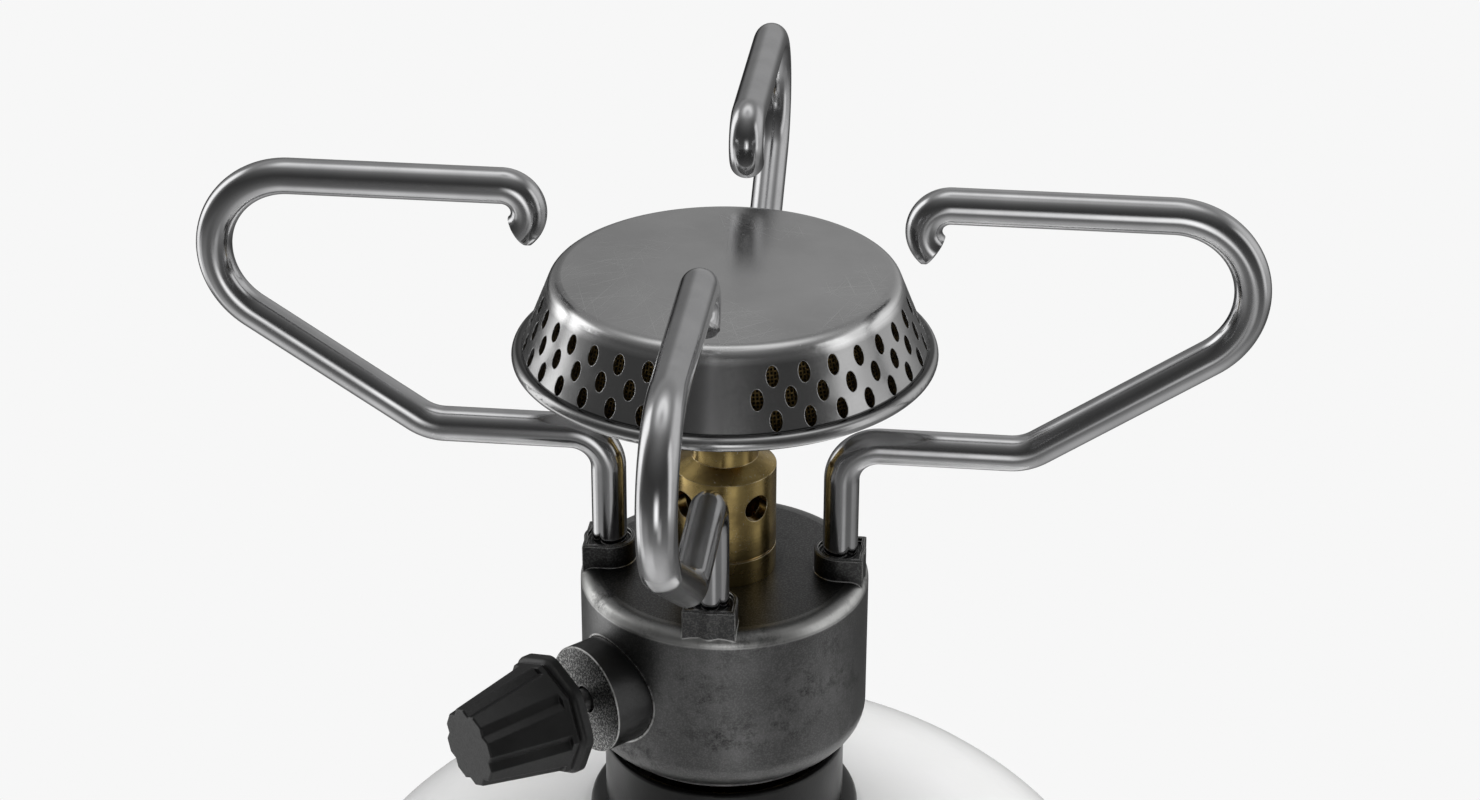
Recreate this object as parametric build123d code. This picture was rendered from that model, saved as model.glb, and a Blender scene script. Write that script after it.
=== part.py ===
from build123d import *
import os
from math import atan, atan2, cos, degrees, hypot, pi, radians, sin, sqrt, tan

os.makedirs("parts", exist_ok=True)

# A screw-on gas stove standing on its gas cartridge. Millimetres and degrees.
# The floor is z = 0 and Z is the stove's axis. The pot supports point along X and Y.

# Gas cartridge: can, dome and rolled seam
can_radius = 54.0
can_sheet = 0.5
can_height = 58.4
can_edge_round = 4.0
foot_width = 2.0
base_rise = 9.0
base_cone = 6.0
base_round = 3.0
seam_proud = 1.0
seam_inside = 0.3
seam_tall = 2.8
seam_round = 0.6
dome_rise = 15.78
dome_edge_inset = 0.25
dome_edge_lift = 0.12
dome_mouth = 12.0
dome_lip = 1.7

# Cartridge valve
cup_sheet = 0.5
cup_gap = 0.3
cup_hook = 2.0
cup_depth = 8.4
boss_radius = 5.55
boss_top_drop = 1.6
boss_flange = 7.0
boss_flange_tall = 2.2
boss_rivet_radius = 6.6
boss_rivet_tall = 1.3
boss_mouth_radius = 3.4
boss_mouth_depth = 4.0
stem_guide = 4.0
chamber_radius = 3.9
stem_radius = 1.5
stem_top_drop = 1.8
poppet_radius = 3.2
poppet_tall = 2.0
poppet_gap = 0.3
gasket_tall = 1.0
spring_radius = 2.5
spring_wire = 0.3
spring_turns = 4
spring_seat_tall = 0.9
spring_seat_hole = 1.0

# Black collar round the cartridge valve
collar_base = 19.2
collar_ledge = 2.2
collar_step = 2.8
collar_height = 12.61
collar_wall = 0.9
collar_lip_tall = 2.0
collar_shoulder = 2.0
collar_rim_round = 0.3
collar_margin = 0.3

# Stove body
body_gap = 1.91
body_radius = 20.0
body_height = 25.55
body_bottom_round = 4.5
body_top_round = 2.0
body_top_wall = 4.0
cavity_wall = 0.8
cover_lap = 2.2
cover_tall = 0.7
cover_edge = 0.5
cover_spigot = 2.0

# Lugs and pot supports
support_count = 4
lug_wall = 1.175
lug_setback = 0.6
lug_height = 3.42
lug_rim = 0.55
lug_recess = 0.65
lug_edge = 0.2
leg_inset = 3.97
leg_floor = 2.5
rod_radius = 2.42
run_drop = 13.51
lower_run_reach = 41.2
support_slope = 34.43
pot_clearance = 13.35
leg_bend = 5.2
run_bend = 16.5
outer_bend = 10.87
hook_reach = 29.6
hook_bend = 3.57
hook_turn = 144.5
rod_end_chamfer = 0.3
clip_height = 3.9
clip_wire = 0.45
clip_bite = 0.42
clip_split = 14.0

# Valve block and gas inlet
block_radius = 9.0
block_bottom = 4.0
block_spigot = 4.9
block_spigot_tall = 2.75
socket_radius = 7.8
socket_drop = 8.5
socket_flange_lap = 2.0
socket_flange_tall = 1.2
cover_ring = 4.3
socket_spigot = 6.0
spigot_gap = 0.49
thread_clearance = 0.06
seal_bore = 1.9
seal_tall = 1.6
seal_gap = 0.3
pin_radius = 1.4
pin_bore = 0.6
pin_head = 2.2
pin_head_tall = 1.0
pin_gap = 0.3
filter_radius = 2.95
filter_tall = 1.2
gas_way = 0.8

# Valve spindle, gland and knob, measured outward from the stove's axis
valve_height = 12.72
valve_azimuth = 225.0
seat_reach = 3.0
valve_chamber = 2.1
gland_proud = 4.26
gland_radius = 7.55
gland_bed = 0.4
gland_spigot = 4.4
gland_spigot_tall = 2.8
gland_mouth = 1.95
gland_mouth_tall = 3.2
gland_edge = 0.25
spindle_radius = 1.6
spindle_thread = 2.3
spindle_thread_inset = 0.4
spindle_thread_tall = 4.0
needle_clearance = 0.13
needle_tip = 0.2
needle_shank = 1.5
needle_tall = 2.2
spindle_travel = 1.6
seal_wire = 0.5
seal_inset = 2.6
seal_spacing = 2.2
knob_gap = 4.94
knob_tall = 14.17
knob_flange = 8.2
knob_flange_tall = 1.7
knob_flange_round = 3.0
knob_flange_lip = 0.7
knob_back_apothem = 7.55
knob_front_apothem = 5.33
knob_sides = 8
knob_groove_width = 2.3
knob_groove_depth = 1.0
knob_groove_end = 1.0
knob_edge = 0.3
knob_spindle_depth = 10.5
knob_pocket_inner = 3.3
knob_pocket_outer = 5.6
knob_pocket_depth = 6.0

# Gas jet and mixing tube
jet_hex = 3.3
jet_hex_tall = 2.0
jet_nose = 1.5
jet_nose_tall = 2.0
jet_thread = 2.3
jet_thread_tall = 3.2
jet_bore = 0.3
tube_radius = 7.08
tube_bore = 5.6
tube_tall = 15.74
tube_shoulder_tall = 1.5
tube_groove_height = 3.68
tube_groove_width = 0.35
tube_groove_depth = 0.3
neck_radius = 4.59
neck_bore = 3.5
neck_end = 2.65
air_hole = 1.9
air_hole_count = 4
air_hole_height = 11.55
air_hole_azimuth = 45.0

# Burner head
head_azimuth = 271.75
head_sheet = 0.6
rim_height = 32.92
rim_bead = 1.0
rim_radius = 27.54
cap_tall = 11.22
cap_corner_radius = 23.06
cap_top_round = 2.0
hole_width = 1.66
hole_tall = 2.75
hole_pitch = 10.0
hole_gap_turn = 18.7
hole_rows = 3
hole_row_count = 15
hole_row_start = 2.35
hole_row_step = 2.63
gauze_gap = 0.3
gauze_sheet = 0.3
pan_collar_height = 10.02
pan_collar_tall = 2.6
pan_gap = 0.1
pan_ledge = 2.0
pan_flange = 6.2
pan_flange_tall = 1.2
nut_radius = 7.0
nut_tall = 2.4
nut_margin = 0.5

# Shared clearances, the extra reach of cuts that pass through and the sides of hexagons
running = 0.05
fixed_gap = 0.05
cut_margin = 1.0
hex_sides = 6

# Radii and reaches that follow from the sizes above
seam_radius = can_radius + seam_proud
dome_flat = collar_base + collar_margin
collar_neck = collar_base - collar_ledge
leg_offset = body_radius - leg_inset
lug_face = body_radius - lug_setback
lug_round = rod_radius + lug_wall
cavity_radius = leg_offset - rod_radius - cavity_wall
cover_radius = cavity_radius + cover_lap
socket_neck = cavity_radius - cover_ring
socket_flange = socket_neck + socket_flange_lap
socket_spigot_tall = valve_height - block_bottom - gland_spigot - spigot_gap
gland_reach = body_radius + gland_proud
gland_seat = block_radius - gland_bed
gland_spigot_end = gland_seat - gland_spigot_tall
needle_grade = (needle_shank - needle_tip) / needle_tall
needle_reach = seat_reach - (gas_way - needle_clearance - needle_tip) / needle_grade
spindle_thread_start = gland_spigot_end + spindle_thread_inset
spindle_thread_end = spindle_thread_start + spindle_thread_tall
seal_start = spindle_thread_end + spindle_travel + seal_inset
seal_reaches = (seal_start, seal_start + seal_spacing)
knob_reach = gland_reach + knob_gap
pan_rim = rim_radius - rim_bead - pan_gap


# Outline points are (radius, height) pairs. rounds maps a point's index to its corner radius.
def outline(points, rounds=None):
    shape = make_face(Polyline(*points, close=True))
    for index, size in (rounds or {}).items():
        corner = Vector(points[index][0], points[index][1], 0)
        vertex = shape.vertices().sort_by(lambda v: (Vector(v) - corner).length)[0]
        shape = fillet(vertex, size)
    return shape


# Solid turned about Z from such an outline
def turned(points, rounds=None):
    return revolve(Plane.XZ * outline(points, rounds), Axis.Z)


def tube(inner, outer, low, high):
    return turned([(inner, low), (outer, low), (outer, high), (inner, high)])


def rod(radius, low, high):
    return turned([(0, low), (radius, low), (radius, high), (0, high)])


def around_z(part, count, start=0.0):
    return [Rot(0, 0, start + 360.0 * n / count) * part for n in range(count)]


# Heights in the assembly
seam_top = can_height + seam_tall
dome_top = seam_top + dome_rise
collar_top = dome_top + collar_height
boss_top = collar_top - boss_top_drop
body_bottom = collar_top + body_gap
body_top = body_bottom + body_height
valve_z = body_bottom + valve_height
block_z = body_bottom + block_bottom
block_top = body_top - body_top_wall
spigot_top = body_top + block_spigot_tall
cover_bottom = body_bottom - cover_tall
socket_flange_bottom = cover_bottom - socket_flange_tall
socket_bottom = body_bottom - socket_drop
leg_bottom = body_bottom + leg_floor
clip_z = body_bottom + clip_height
lug_top = body_top + lug_height
tube_top = body_top + tube_tall
neck_start = tube_top + tube_shoulder_tall
rim_z = body_top + rim_height
cap_top = rim_z + cap_tall

valve_plane = Plane(
    origin=(0, 0, valve_z),
    x_dir=(-sin(radians(valve_azimuth)), cos(radians(valve_azimuth)), 0),
    z_dir=(cos(radians(valve_azimuth)), sin(radians(valve_azimuth)), 0),
)


# Drawn steel can with a dished base that stands on a flat foot ring
def cartridge_can():
    inside = can_radius - can_sheet
    foot_outer = can_radius - can_edge_round
    foot_inner = foot_outer - foot_width
    dish = foot_inner - base_cone
    points = [
        (0, base_rise),
        (dish, base_rise),
        (foot_inner, 0),
        (can_radius, 0),
        (can_radius, can_height),
        (inside, can_height),
        (inside, can_sheet),
        (foot_inner + can_sheet, can_sheet),
        (dish + can_sheet, base_rise + can_sheet),
        (0, base_rise + can_sheet),
    ]
    inner_round = can_edge_round - can_sheet
    return turned(points, {3: can_edge_round, 6: inner_round, 1: base_round, 8: base_round})


# Domed top with a turned-up mouth and the rolled seam that grips the can
def cartridge_dome():
    seam_inner = can_radius - can_sheet - seam_inside
    reach = seam_radius - dome_edge_inset - dome_flat
    drop = dome_rise - dome_edge_lift
    arc = (reach**2 + drop**2) / (2 * drop)
    half = degrees(atan2(reach, arc - drop))
    centre = (dome_flat, dome_top - arc)
    inner = arc - can_sheet
    mouth_out = dome_mouth + can_sheet
    outer_arc = CenterArc(centre, arc, 90 - half, half)
    inner_arc = CenterArc(centre, inner, 90 - half, half)
    path = Polyline(
        outer_arc @ 1,
        (mouth_out, dome_top),
        (mouth_out, dome_top + dome_lip),
        (dome_mouth, dome_top + dome_lip),
        (dome_mouth, dome_top - can_sheet),
        inner_arc @ 1,
    )
    shell = make_face(outer_arc + path + inner_arc + Line(inner_arc @ 0, outer_arc @ 0))
    corners = [
        (seam_inner, can_height),
        (seam_radius, can_height),
        (seam_radius, seam_top),
        (seam_inner, seam_top),
    ]
    seam = turned(corners, {n: seam_round for n in range(len(corners))})
    return revolve(Plane.XZ * shell, Axis.Z) + seam


# Sheet cup hooked over the dome's mouth, with the valve riveted in its floor
hook_inner = dome_mouth + can_sheet + cup_gap
hook_outer = hook_inner + cup_sheet
cup_outer = dome_mouth - cup_gap
cup_inner = cup_outer - cup_sheet
cup_top = dome_top + dome_lip + cup_gap + cup_sheet
cup_floor = cup_top - cup_depth


def valve_cup():
    points = [
        (boss_radius + fixed_gap, cup_floor - cup_sheet),
        (cup_outer, cup_floor - cup_sheet),
        (cup_outer, cup_top - cup_sheet),
        (hook_inner, cup_top - cup_sheet),
        (hook_inner, cup_top - cup_hook),
        (hook_outer, cup_top - cup_hook),
        (hook_outer, cup_top),
        (cup_inner, cup_top),
        (cup_inner, cup_floor),
        (boss_radius + fixed_gap, cup_floor),
    ]
    return turned(points)


# Threaded valve boss. Its lower end is riveted under the cup and holds the valve parts
boss_bottom = cup_floor - cup_sheet - boss_rivet_tall
mouth_floor = boss_top - boss_mouth_depth
chamber_top = mouth_floor - stem_guide
gasket_bottom = chamber_top - gasket_tall
poppet_top = gasket_bottom - poppet_gap
spring_floor = boss_bottom + spring_seat_tall


def valve_boss():
    points = [
        (chamber_radius, boss_bottom),
        (boss_rivet_radius, boss_bottom),
        (boss_rivet_radius, cup_floor - cup_sheet),
        (boss_radius, cup_floor - cup_sheet),
        (boss_radius, cup_floor),
        (boss_flange, cup_floor),
        (boss_flange, cup_floor + boss_flange_tall),
        (boss_radius, cup_floor + boss_flange_tall),
        (boss_radius, boss_top),
        (boss_mouth_radius, boss_top),
        (boss_mouth_radius, mouth_floor),
        (stem_radius + running, mouth_floor),
        (stem_radius + running, chamber_top),
        (chamber_radius, chamber_top),
    ]
    return turned(points)


def valve_gasket():
    return tube(stem_radius + running, chamber_radius - fixed_gap, gasket_bottom, chamber_top)


def valve_stem():
    poppet_bottom = poppet_top - poppet_tall
    points = [
        (0, poppet_bottom),
        (poppet_radius, poppet_bottom),
        (poppet_radius, poppet_top),
        (stem_radius, poppet_top),
        (stem_radius, boss_top - stem_top_drop),
        (0, boss_top - stem_top_drop),
    ]
    return turned(points)


def spring_seat():
    return tube(spring_seat_hole, chamber_radius - fixed_gap, boss_bottom, spring_floor)


# Coil spring under the poppet, two arcs for each quarter turn
def valve_spring():
    low = spring_floor + spring_wire
    high = poppet_top - poppet_tall - spring_wire
    steps = 4 * spring_turns
    pitch = (high - low) / (2 * pi * spring_turns)

    def point(n):
        angle = n * pi / 2
        return Vector(spring_radius * cos(angle), spring_radius * sin(angle), low + pitch * angle)

    def heading(n):
        angle = n * pi / 2
        return Vector(-spring_radius * sin(angle), spring_radius * cos(angle), pitch).normalized()

    arcs = []
    for n in range(steps):
        start, end = point(n), point(n + 1)
        leave, arrive = heading(n), heading(n + 1)
        chord = end - start
        a = 2 * (1 - leave.dot(arrive))
        b = 2 * chord.dot(leave + arrive)
        reach = (sqrt(b**2 + 4 * a * chord.dot(chord)) - b) / (2 * a)
        turn_in = start + leave * reach
        turn_out = end - arrive * reach
        middle = (turn_in + turn_out) / 2
        arcs.append(TangentArc(start, middle, tangent=leave))
        arcs.append(TangentArc(middle, end, tangent=turn_out - turn_in))
    path = Wire(arcs)
    section = Plane(origin=point(0), z_dir=heading(0)) * Circle(spring_wire)
    return sweep(section, path=path)


# Moulded collar: a stepped ring that sits on the dome and guards the valve
def cartridge_collar():
    step_top = dome_top + collar_step
    inside = collar_neck - collar_wall
    lip = hook_outer + cup_gap
    points = [
        (lip, dome_top),
        (collar_base, dome_top),
        (collar_base, step_top),
        (collar_neck, step_top),
        (collar_neck, collar_top),
        (inside, collar_top),
        (inside, dome_top + collar_lip_tall),
        (lip, dome_top + collar_lip_tall),
    ]
    return turned(points, {2: collar_shoulder, 4: collar_rim_round})


# Plan of one lug: round towards the axis, flat on its outer face
def lug_plan(inset):
    half = lug_round - inset
    straight = lug_face - inset - leg_offset
    block = Pos(leg_offset + straight / 2, 0) * Rectangle(straight, 2 * half)
    return Pos(leg_offset, 0) * Circle(half) + block


# Cast body: open below, with four lugs on top, their bores and a hole for the gland
def body_casing():
    points = [
        (0, body_bottom),
        (body_radius, body_bottom),
        (body_radius, body_top),
        (0, body_top),
    ]
    shell = turned(points, {1: body_bottom_round, 2: body_top_round})
    root = body_top - body_top_round
    lug = Pos(0, 0, root) * extrude(lug_plan(0), lug_top - root)
    lug = chamfer(lug.faces().sort_by(Axis.Z)[-1].edges(), lug_edge)
    shell += around_z(lug, support_count)
    recess = Pos(0, 0, lug_top - lug_recess) * extrude(lug_plan(lug_rim), lug_recess)
    bore = Pos(leg_offset, 0, 0) * rod(rod_radius + running, leg_bottom, lug_top)
    groove_outer = leg_offset - rod_radius + clip_bite + running
    groove_half = clip_wire + running
    clip_groove = tube(0, groove_outer, clip_z - groove_half, clip_z + groove_half)
    cavity = rod(cavity_radius, body_bottom, block_top)
    spigot_hole = rod(block_spigot + fixed_gap, block_top, body_top)
    gland_hole = valve_plane * rod(gland_radius + fixed_gap, 0, gland_reach)
    cuts = around_z(recess + bore, support_count) + [clip_groove, cavity, spigot_hole, gland_hole]
    return shell - cuts


# Disc that closes the body from below and drops into its cavity
def base_cover():
    hole = socket_neck + fixed_gap
    points = [
        (hole, cover_bottom),
        (cover_radius, cover_bottom),
        (cover_radius, body_bottom),
        (cavity_radius - fixed_gap, body_bottom),
        (cavity_radius - fixed_gap, body_bottom + cover_spigot),
        (hole, body_bottom + cover_spigot),
    ]
    return turned(points, {1: cover_edge})


# Split wire ring in the cavity wall that keeps all four legs down by their grooves
def support_clip():
    middle = leg_offset - rod_radius + clip_bite - clip_wire
    section = Plane.XZ * (Pos(middle, clip_z) * Circle(clip_wire))
    ring = revolve(section, Axis.Z, revolution_arc=360 - clip_split)
    return Rot(0, 0, valve_azimuth - 180 + clip_split / 2) * ring


# One pot support, bent from round rod in the X-Z plane
def pot_support():
    run_z = rim_z - run_drop
    top_z = cap_top + pot_clearance - rod_radius
    corner = lower_run_reach + (top_z - run_z) / tan(radians(support_slope))
    bends = FilletPolyline(
        (leg_offset, leg_bottom + running),
        (leg_offset, run_z),
        (lower_run_reach, run_z),
        (corner, top_z),
        (hook_reach, top_z),
        radius=[leg_bend, run_bend, outer_bend],
    )
    hook = CenterArc((hook_reach, top_z - hook_bend), hook_bend, 90, hook_turn)
    path = Plane.XZ * (bends + hook)
    section = Pos(leg_offset, 0, leg_bottom + running) * Circle(rod_radius)
    bar = sweep(section, path=path)
    ends = bar.faces().filter_by(GeomType.PLANE)
    bar = chamfer(ends.edges(), rod_end_chamfer)
    groove_half = clip_wire + 2 * running
    groove_inner = rod_radius - clip_bite - 2 * running
    groove = tube(groove_inner, rod_radius + running, clip_z - groove_half, clip_z + groove_half)
    return bar - Pos(leg_offset, 0, 0) * groove


# Brass valve block: gas comes in below, passes the needle's seat and leaves at the jet
def valve_block():
    points = [
        (0, block_z),
        (block_radius, block_z),
        (block_radius, block_top),
        (block_spigot, block_top),
        (block_spigot, spigot_top),
        (0, spigot_top),
    ]
    block = turned(points)
    socket = rod(socket_spigot + fixed_gap, block_z, block_z + socket_spigot_tall + fixed_gap)
    jet_hole = rod(jet_thread + fixed_gap, spigot_top - jet_thread_tall - fixed_gap, spigot_top)
    rise = rod(gas_way, valve_z, spigot_top)
    spotface = rod(gland_radius + fixed_gap, gland_seat, block_radius)
    port = rod(gland_spigot + fixed_gap, gland_spigot_end - fixed_gap, block_radius)
    chamber = rod(valve_chamber, seat_reach, gland_spigot_end)
    seat = rod(gas_way, 0, seat_reach)
    feed_reach = (seat_reach + gland_spigot_end) / 2
    feed_start = valve_plane.location * Pos(0, 0, feed_reach)
    feed_low = block_z + socket_spigot_tall
    feed = Pos(feed_start.position.X, feed_start.position.Y, 0) * rod(gas_way, feed_low, valve_z)
    side = [valve_plane * cut for cut in (spotface, port, chamber, seat)]
    return block - [socket, jet_hole, rise, feed] - side


# Female socket that screws on the cartridge and clamps the base cover to the block
socket_bore = boss_radius + thread_clearance
socket_bore_end = boss_top + seal_gap + seal_tall + fixed_gap
filter_floor = block_z + socket_spigot_tall - filter_tall - pin_head_tall


def inlet_socket():
    top = block_z + socket_spigot_tall
    points = [
        (socket_bore, socket_bottom),
        (socket_radius, socket_bottom),
        (socket_radius, socket_flange_bottom),
        (socket_flange, socket_flange_bottom),
        (socket_flange, cover_bottom),
        (socket_neck, cover_bottom),
        (socket_neck, block_z),
        (socket_spigot, block_z),
        (socket_spigot, top),
        (filter_radius + fixed_gap, top),
        (filter_radius + fixed_gap, filter_floor),
        (pin_radius + fixed_gap, filter_floor),
        (pin_radius + fixed_gap, socket_bore_end),
        (socket_bore, socket_bore_end),
    ]
    return turned(points)


def inlet_seal():
    low = boss_top + seal_gap
    return tube(seal_bore, socket_bore - running, low, low + seal_tall)


# Hollow pin that pushes the cartridge's stem down as the stove is screwed home
def depressor_pin():
    tip = boss_top - stem_top_drop + pin_gap
    points = [
        (pin_bore, tip),
        (pin_radius, tip),
        (pin_radius, filter_floor),
        (pin_head, filter_floor),
        (pin_head, filter_floor + pin_head_tall),
        (pin_bore, filter_floor + pin_head_tall),
    ]
    return turned(points)


def inlet_filter():
    low = filter_floor + pin_head_tall
    return rod(filter_radius, low, low + filter_tall)


# Gland that carries the spindle through the body's side
def gland_nut():
    seal_bore_radius = spindle_thread - running
    thread_end = spindle_thread_end + spindle_travel + running
    points = [
        (spindle_thread + running, gland_spigot_end),
        (gland_spigot, gland_spigot_end),
        (gland_spigot, gland_seat),
        (gland_radius, gland_seat),
        (gland_radius, gland_reach),
        (gland_mouth, gland_reach),
        (gland_mouth, gland_reach - gland_mouth_tall),
        (seal_bore_radius, gland_reach - gland_mouth_tall),
        (seal_bore_radius, thread_end),
        (spindle_thread + running, thread_end),
    ]
    return valve_plane * turned(points, {4: gland_edge})


# Spindle with its needle, thread and seal grooves
seal_ring_radius = spindle_thread - 2 * running - seal_wire
seal_groove = seal_ring_radius - seal_wire - running


def valve_spindle():
    points = [
        (0, needle_reach),
        (needle_tip, needle_reach),
        (needle_shank, needle_reach + needle_tall),
        (needle_shank, spindle_thread_start),
        (spindle_thread, spindle_thread_start),
        (spindle_thread, spindle_thread_end),
        (spindle_radius, spindle_thread_end),
        (spindle_radius, knob_reach + knob_spindle_depth),
        (0, knob_reach + knob_spindle_depth),
    ]
    half = seal_wire + running
    grooves = [tube(seal_groove, spindle_radius + cut_margin, t - half, t + half) for t in seal_reaches]
    return valve_plane * (turned(points) - grooves)


def spindle_seals():
    rings = [Pos(0, 0, t) * Torus(seal_ring_radius, seal_wire) for t in seal_reaches]
    return valve_plane * Compound(rings)


# Tapered eight-sided knob with V grooves along its corners and a flange behind
def control_knob():
    body_start = knob_reach + knob_flange_tall
    front = knob_reach + knob_tall
    body_tall = front - body_start
    to_corner = 1 / cos(pi / knob_sides)

    def octagon(apothem):
        return RegularPolygon(apothem * to_corner, knob_sides)

    plate = octagon(knob_flange)
    plate = fillet(plate.vertices(), knob_flange_round)
    flange = Pos(0, 0, knob_reach) * extrude(plate, knob_flange_tall)
    flange = fillet(flange.faces().sort_by(Axis.Z)[-1].edges(), knob_flange_lip)
    back = Pos(0, 0, body_start) * octagon(knob_back_apothem)
    nose = Pos(0, 0, front) * octagon(knob_front_apothem)
    grip = loft([back, nose])
    back_corner = knob_back_apothem * to_corner
    taper = (back_corner - knob_front_apothem * to_corner) / body_tall
    clear = back_corner + knob_groove_depth
    flare = 2 * knob_groove_depth / knob_groove_width - tan(pi / knob_sides)

    def notch(rise):
        crease = back_corner - taper * rise - knob_groove_depth
        half = (clear - crease) / flare
        return Pos(0, 0, body_start + rise) * outline([(crease, 0), (clear, half), (clear, -half)])

    grip -= around_z(loft([notch(knob_groove_end), notch(body_tall)], ruled=True), knob_sides)
    long_edges = grip.edges().filter_by(lambda e: e.length > body_tall / 2)
    land_edges = long_edges.sort_by(lambda e: hypot(e.center().X, e.center().Y))[-2 * knob_sides:]
    front_edges = grip.faces().sort_by(Axis.Z)[-1].edges()
    grip = fillet(land_edges + front_edges, knob_edge)
    pocket = tube(knob_pocket_inner, knob_pocket_outer, knob_reach, knob_reach + knob_pocket_depth)
    hole = rod(spindle_radius + fixed_gap, knob_reach, knob_reach + knob_spindle_depth + fixed_gap)
    return valve_plane * (flange + grip - pocket - hole)


# Jet screwed into the block's spigot, inside the mixing tube
def gas_jet():
    hex_top = spigot_top + jet_hex_tall
    stub = rod(jet_thread, spigot_top - jet_thread_tall, spigot_top)
    head = Pos(0, 0, spigot_top) * extrude(RegularPolygon(jet_hex, hex_sides), jet_hex_tall)
    nose_points = [(0, hex_top), (jet_hex * cos(pi / hex_sides), hex_top)]
    nose_points += [(jet_nose, hex_top + jet_nose_tall), (0, hex_top + jet_nose_tall)]
    bore = rod(jet_bore, spigot_top - jet_thread_tall, hex_top + jet_nose_tall)
    return stub + head + turned(nose_points) - bore


# Brass mixing tube, screwed on the block's spigot, with air holes above the jet
flange_bottom = rim_z - pan_collar_height
pan_low = flange_bottom + pan_flange_tall
pan_high = pan_low + pan_collar_tall
neck_top = pan_high + nut_tall + neck_end


def mixing_tube():
    groove_low = body_top + tube_groove_height
    groove_high = groove_low + tube_groove_width
    points = [
        (block_spigot + fixed_gap, body_top),
        (tube_radius, body_top),
        (tube_radius, groove_low),
        (tube_radius - tube_groove_depth, groove_low),
        (tube_radius - tube_groove_depth, groove_high),
        (tube_radius, groove_high),
        (tube_radius, tube_top),
        (neck_radius, neck_start),
        (neck_radius, flange_bottom),
        (pan_flange, flange_bottom),
        (pan_flange, flange_bottom + pan_flange_tall),
        (neck_radius, flange_bottom + pan_flange_tall),
        (neck_radius, neck_top),
        (neck_bore, neck_top),
        (neck_bore, neck_start),
        (tube_bore, tube_top - tube_shoulder_tall),
        (tube_bore, spigot_top),
        (block_spigot + fixed_gap, spigot_top),
    ]
    hole = Rot(0, 90, 0) * rod(air_hole, 0, tube_radius + cut_margin)
    hole = Pos(0, 0, body_top + air_hole_height) * hole
    return turned(points) - around_z(hole, air_hole_count, air_hole_azimuth)


# Pan that closes the burner head below, clamped on the neck by a ring nut
def burner_pan():
    inside = neck_radius + fixed_gap
    outside = inside + head_sheet
    slope_end = pan_rim - pan_ledge
    seat = nut_radius + nut_margin
    points = [
        (inside, pan_low),
        (outside, pan_low),
        (outside, pan_high - head_sheet),
        (seat, pan_high - head_sheet),
        (slope_end, rim_z - head_sheet),
        (pan_rim, rim_z - head_sheet),
        (pan_rim, rim_z),
        (slope_end, rim_z),
        (seat, pan_high),
        (inside, pan_high),
    ]
    return turned(points)


def head_nut():
    blank = RegularPolygon(nut_radius, hex_sides) - Circle(neck_radius + fixed_gap)
    return Pos(0, 0, pan_high) * extrude(blank, nut_tall)


# Skirt radius of the cap's outside at a height above the rolled rim's centre
skirt_slope = (rim_radius - cap_corner_radius) / cap_tall


def skirt_radius(height):
    return rim_radius - skirt_slope * height


# Stainless burner cap: pressed top, sloping pierced skirt and a rolled rim
def burner_cap():
    across = head_sheet * hypot(1, skirt_slope)
    under = cap_tall - head_sheet
    points = [
        (0, cap_top),
        (skirt_radius(cap_tall), cap_top),
        (skirt_radius(0), rim_z),
        (skirt_radius(0) - across, rim_z),
        (skirt_radius(under) - across, rim_z + under),
        (0, rim_z + under),
    ]
    cap = turned(points, {1: cap_top_round, 4: cap_top_round - head_sheet})
    cap += Pos(0, 0, rim_z) * Torus(rim_radius, rim_bead)
    lean = degrees(atan(skirt_slope))
    punch = extrude(Ellipse(hole_tall / 2, hole_width / 2), head_sheet + cut_margin, both=True)
    cuts = []
    for row in range(hole_rows):
        height = hole_row_start + row * hole_row_step
        place = Pos(skirt_radius(height), 0, rim_z + height) * Rot(0, 90 - lean, 0)
        extra = row % 2
        for n in range(hole_row_count + extra):
            turn = hole_gap_turn + (n - extra / 2) * hole_pitch
            cuts.append(Rot(0, 0, head_azimuth + turn) * (place * punch))
            cuts.append(Rot(0, 0, head_azimuth - turn) * (place * punch))
    return cap - cuts


# Woven gauze cone behind the skirt
def flame_gauze():
    across = hypot(1, skirt_slope)
    outer_gap = (head_sheet + gauze_gap) * across
    inner_gap = outer_gap + gauze_sheet * across
    high = cap_tall - head_sheet - cap_top_round
    points = [
        (rim_radius - outer_gap - rim_bead, rim_z),
        (skirt_radius(high) - outer_gap, rim_z + high),
        (skirt_radius(high) - inner_gap, rim_z + high),
        (rim_radius - inner_gap - rim_bead, rim_z),
    ]
    return turned(points)


parts = {
    "cartridge_can": cartridge_can(),
    "cartridge_dome": cartridge_dome(),
    "valve_cup": valve_cup(),
    "valve_boss": valve_boss(),
    "valve_gasket": valve_gasket(),
    "valve_stem": valve_stem(),
    "valve_spring": valve_spring(),
    "spring_seat": spring_seat(),
    "cartridge_collar": cartridge_collar(),
    "body_casing": body_casing(),
    "base_cover": base_cover(),
    "support_clip": support_clip(),
    "valve_block": valve_block(),
    "inlet_socket": inlet_socket(),
    "inlet_seal": inlet_seal(),
    "depressor_pin": depressor_pin(),
    "inlet_filter": inlet_filter(),
    "gland_nut": gland_nut(),
    "valve_spindle": valve_spindle(),
    "spindle_seals": spindle_seals(),
    "control_knob": control_knob(),
    "gas_jet": gas_jet(),
    "mixing_tube": mixing_tube(),
    "burner_pan": burner_pan(),
    "head_nut": head_nut(),
    "flame_gauze": flame_gauze(),
    "burner_cap": burner_cap(),
}
support = pot_support()
sides = ("right", "back", "left", "front")
for side, turned_support in zip(sides, around_z(support, support_count)):
    parts["pot_support_" + side] = turned_support

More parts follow.
